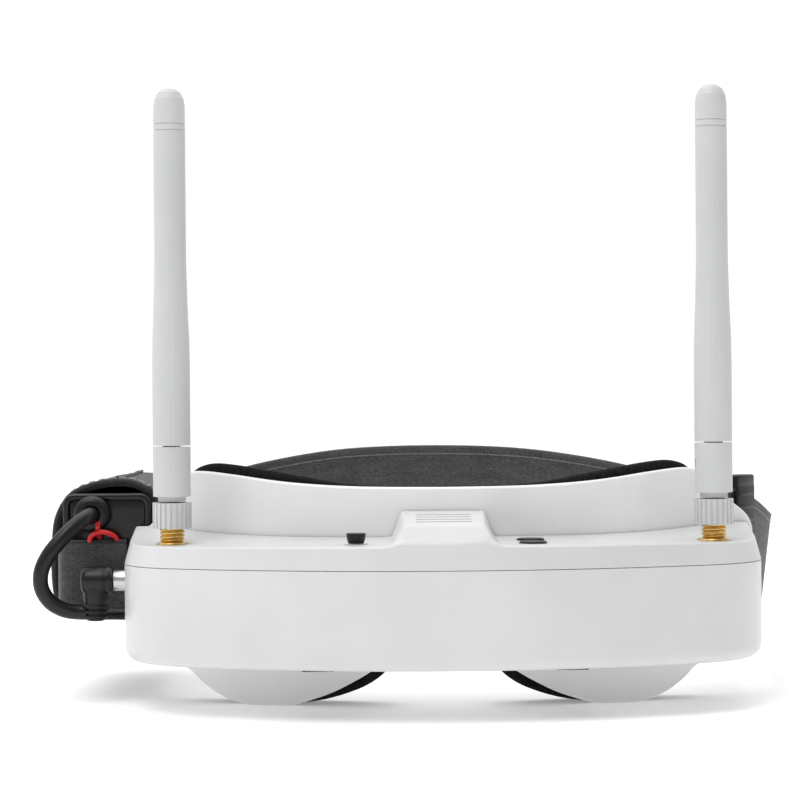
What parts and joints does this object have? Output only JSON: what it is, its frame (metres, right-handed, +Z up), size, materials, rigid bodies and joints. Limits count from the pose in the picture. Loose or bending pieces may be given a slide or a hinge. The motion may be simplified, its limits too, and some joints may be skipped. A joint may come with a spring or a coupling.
{
  "type": "fpv goggles",
  "caption": "Video goggles with a white shell, foam face plate, sliding optics, folding antennas, an elastic head strap and a battery pouch with its power lead.",
  "frame": {"origin": "under the middle of the headset, on the surface it stands on", "axes": "+X towards the wearer's left-hand side as seen from the front at the right of the view, +Y from the front shell towards the wearer, +Z up"},
  "size_m": [0.1994, 0.1512, 0.1587],
  "materials": {
    "white_shell": "satin",
    "white_plate": "satin",
    "white_antenna": "fine matt",
    "black_plastic": "fine matt",
    "black_gloss": "glossy",
    "foam": "open-cell foam with a cloth face",
    "elastic": "heathered grey woven elastic",
    "pouch_fabric": "black woven cloth, bound and stitched",
    "brass": "bright, threaded",
    "steel": "machined",
    "circuit_board": "solder mask",
    "lens_glass": "polished",
    "display_glass": "polished",
    "cell_wrap": "foil pouch",
    "cable_rubber": "smooth",
    "red_insulation": "smooth"
  },
  "bodies": {
    "headset": {"front_shell": "white_shell", "top_cover": "white_shell", "face_plate": "white_plate", "antenna_collar_left": "white_antenna", "antenna_collar_right": "white_antenna", "joystick_base": "black_plastic", "dc_jack": "black_plastic", "av_jack": "black_plastic", "earphone_jack": "black_plastic", "fan_frame": "black_plastic", "strap_slider": "black_plastic", "optics_bezel": "black_plastic", "battery_case": "black_gloss", "battery_cap": "black_gloss", "face_foam": "foam", "head_strap": "elastic", "pouch_pocket": "elastic", "battery_pouch": "pouch_fabric", "sma_jack_left": "brass", "sma_jack_right": "brass", "case_screw_1": "steel", "case_screw_2": "steel", "case_screw_3": "steel", "case_screw_4": "steel", "plug_barrel": "steel", "main_board": "circuit_board", "control_board": "circuit_board", "receiver_board_left": "circuit_board", "receiver_board_right": "circuit_board", "battery_cell_1": "cell_wrap", "battery_cell_2": "cell_wrap", "cable_gland": "cable_rubber", "power_cable": "cable_rubber", "dc_plug": "cable_rubber", "red_lead": "red_insulation"},
    "antenna_base_left_body": {"antenna_base_left": "white_antenna", "antenna_pin_left": "steel"},
    "antenna_base_right_body": {"antenna_base_right": "white_antenna", "antenna_pin_right": "steel"},
    "antenna_left": {"antenna_stem_left": "white_antenna"},
    "antenna_right": {"antenna_stem_right": "white_antenna"},
    "joystick_plunger_body": {"joystick_plunger": "steel"},
    "joystick_stem_body": {"joystick_stem": "black_plastic"},
    "joystick_cap_body": {"joystick_cap": "black_plastic"},
    "button_front_body": {"button_front": "black_plastic"},
    "button_rear_body": {"button_rear": "black_plastic"},
    "fan_rotor": {"fan_impeller": "black_plastic"},
    "eye_carriage_left": {"optics_housing_left": "black_plastic", "display_panel_left": "display_glass", "ipd_knob_left": "black_plastic"},
    "eye_carriage_right": {"optics_housing_right": "black_plastic", "display_panel_right": "display_glass", "ipd_knob_right": "black_plastic"},
    "lens_carrier_left": {"lens_barrel_left": "black_plastic", "lens_left": "lens_glass", "focus_lever_left": "black_plastic"},
    "lens_carrier_right": {"lens_barrel_right": "black_plastic", "lens_right": "lens_glass", "focus_lever_right": "black_plastic"}
  },
  "joints": [
    {"name": "antenna_swivel_left", "type": "hinge", "parent": "headset", "child": "antenna_base_left_body", "pos_m": [-0.06335, -0.0466, 0.0551], "axis": [0, 0, 1], "continuous": true},
    {"name": "antenna_tilt_left", "type": "hinge", "parent": "antenna_base_left_body", "child": "antenna_left", "pos_m": [-0.06335, -0.0466, 0.0626], "axis": [-1, 0, 0], "range_deg": [0, 75]},
    {"name": "eye_spacing_left", "type": "slide", "parent": "headset", "child": "eye_carriage_left", "axis": [1, 0, 0], "range_m": [-0.0045, 0.0045]},
    {"name": "focus_left", "type": "slide", "parent": "eye_carriage_left", "child": "lens_carrier_left", "axis": [0, 1, 0], "range_m": [-0.0025, 0.0025]},
    {"name": "antenna_swivel_right", "type": "hinge", "parent": "headset", "child": "antenna_base_right_body", "pos_m": [0.07425, -0.0466, 0.0551], "axis": [0, 0, 1], "continuous": true},
    {"name": "antenna_tilt_right", "type": "hinge", "parent": "antenna_base_right_body", "child": "antenna_right", "pos_m": [0.07425, -0.0466, 0.0626], "axis": [-1, 0, 0], "range_deg": [0, 75]},
    {"name": "eye_spacing_right", "type": "slide", "parent": "headset", "child": "eye_carriage_right", "axis": [1, 0, 0], "range_m": [-0.0045, 0.0045]},
    {"name": "focus_right", "type": "slide", "parent": "eye_carriage_right", "child": "lens_carrier_right", "axis": [0, 1, 0], "range_m": [-0.0025, 0.0025]},
    {"name": "joystick_press", "type": "slide", "parent": "headset", "child": "joystick_plunger_body", "axis": [0, 0, 1], "range_m": [-0.0003, 0], "stiffness_N_per_m": 2000, "springref_m": 0.0003},
    {"name": "joystick_tilt_fore", "type": "hinge", "parent": "joystick_plunger_body", "child": "joystick_stem_body", "pos_m": [-0.01645, -0.0601, 0.0419], "axis": [1, 0, 0], "range_deg": [-8, 8], "stiffness_Nm_per_rad": 0.02},
    {"name": "joystick_tilt_side", "type": "hinge", "parent": "joystick_stem_body", "child": "joystick_cap_body", "pos_m": [-0.01645, -0.0601, 0.04335], "axis": [0, 1, 0], "range_deg": [-8, 8], "stiffness_Nm_per_rad": 0.02},
    {"name": "button_front_press", "type": "slide", "parent": "headset", "child": "button_front_body", "axis": [0, 0, 1], "range_m": [-0.0004, 0], "stiffness_N_per_m": 2000, "springref_m": 0.0003},
    {"name": "button_rear_press", "type": "slide", "parent": "headset", "child": "button_rear_body", "axis": [0, 0, 1], "range_m": [-0.0004, 0], "stiffness_N_per_m": 2000, "springref_m": 0.0003},
    {"name": "fan_spin", "type": "hinge", "parent": "headset", "child": "fan_rotor", "pos_m": [0.00545, -0.0556, 0.0339], "axis": [0, 0, 1], "continuous": true}
  ]
}
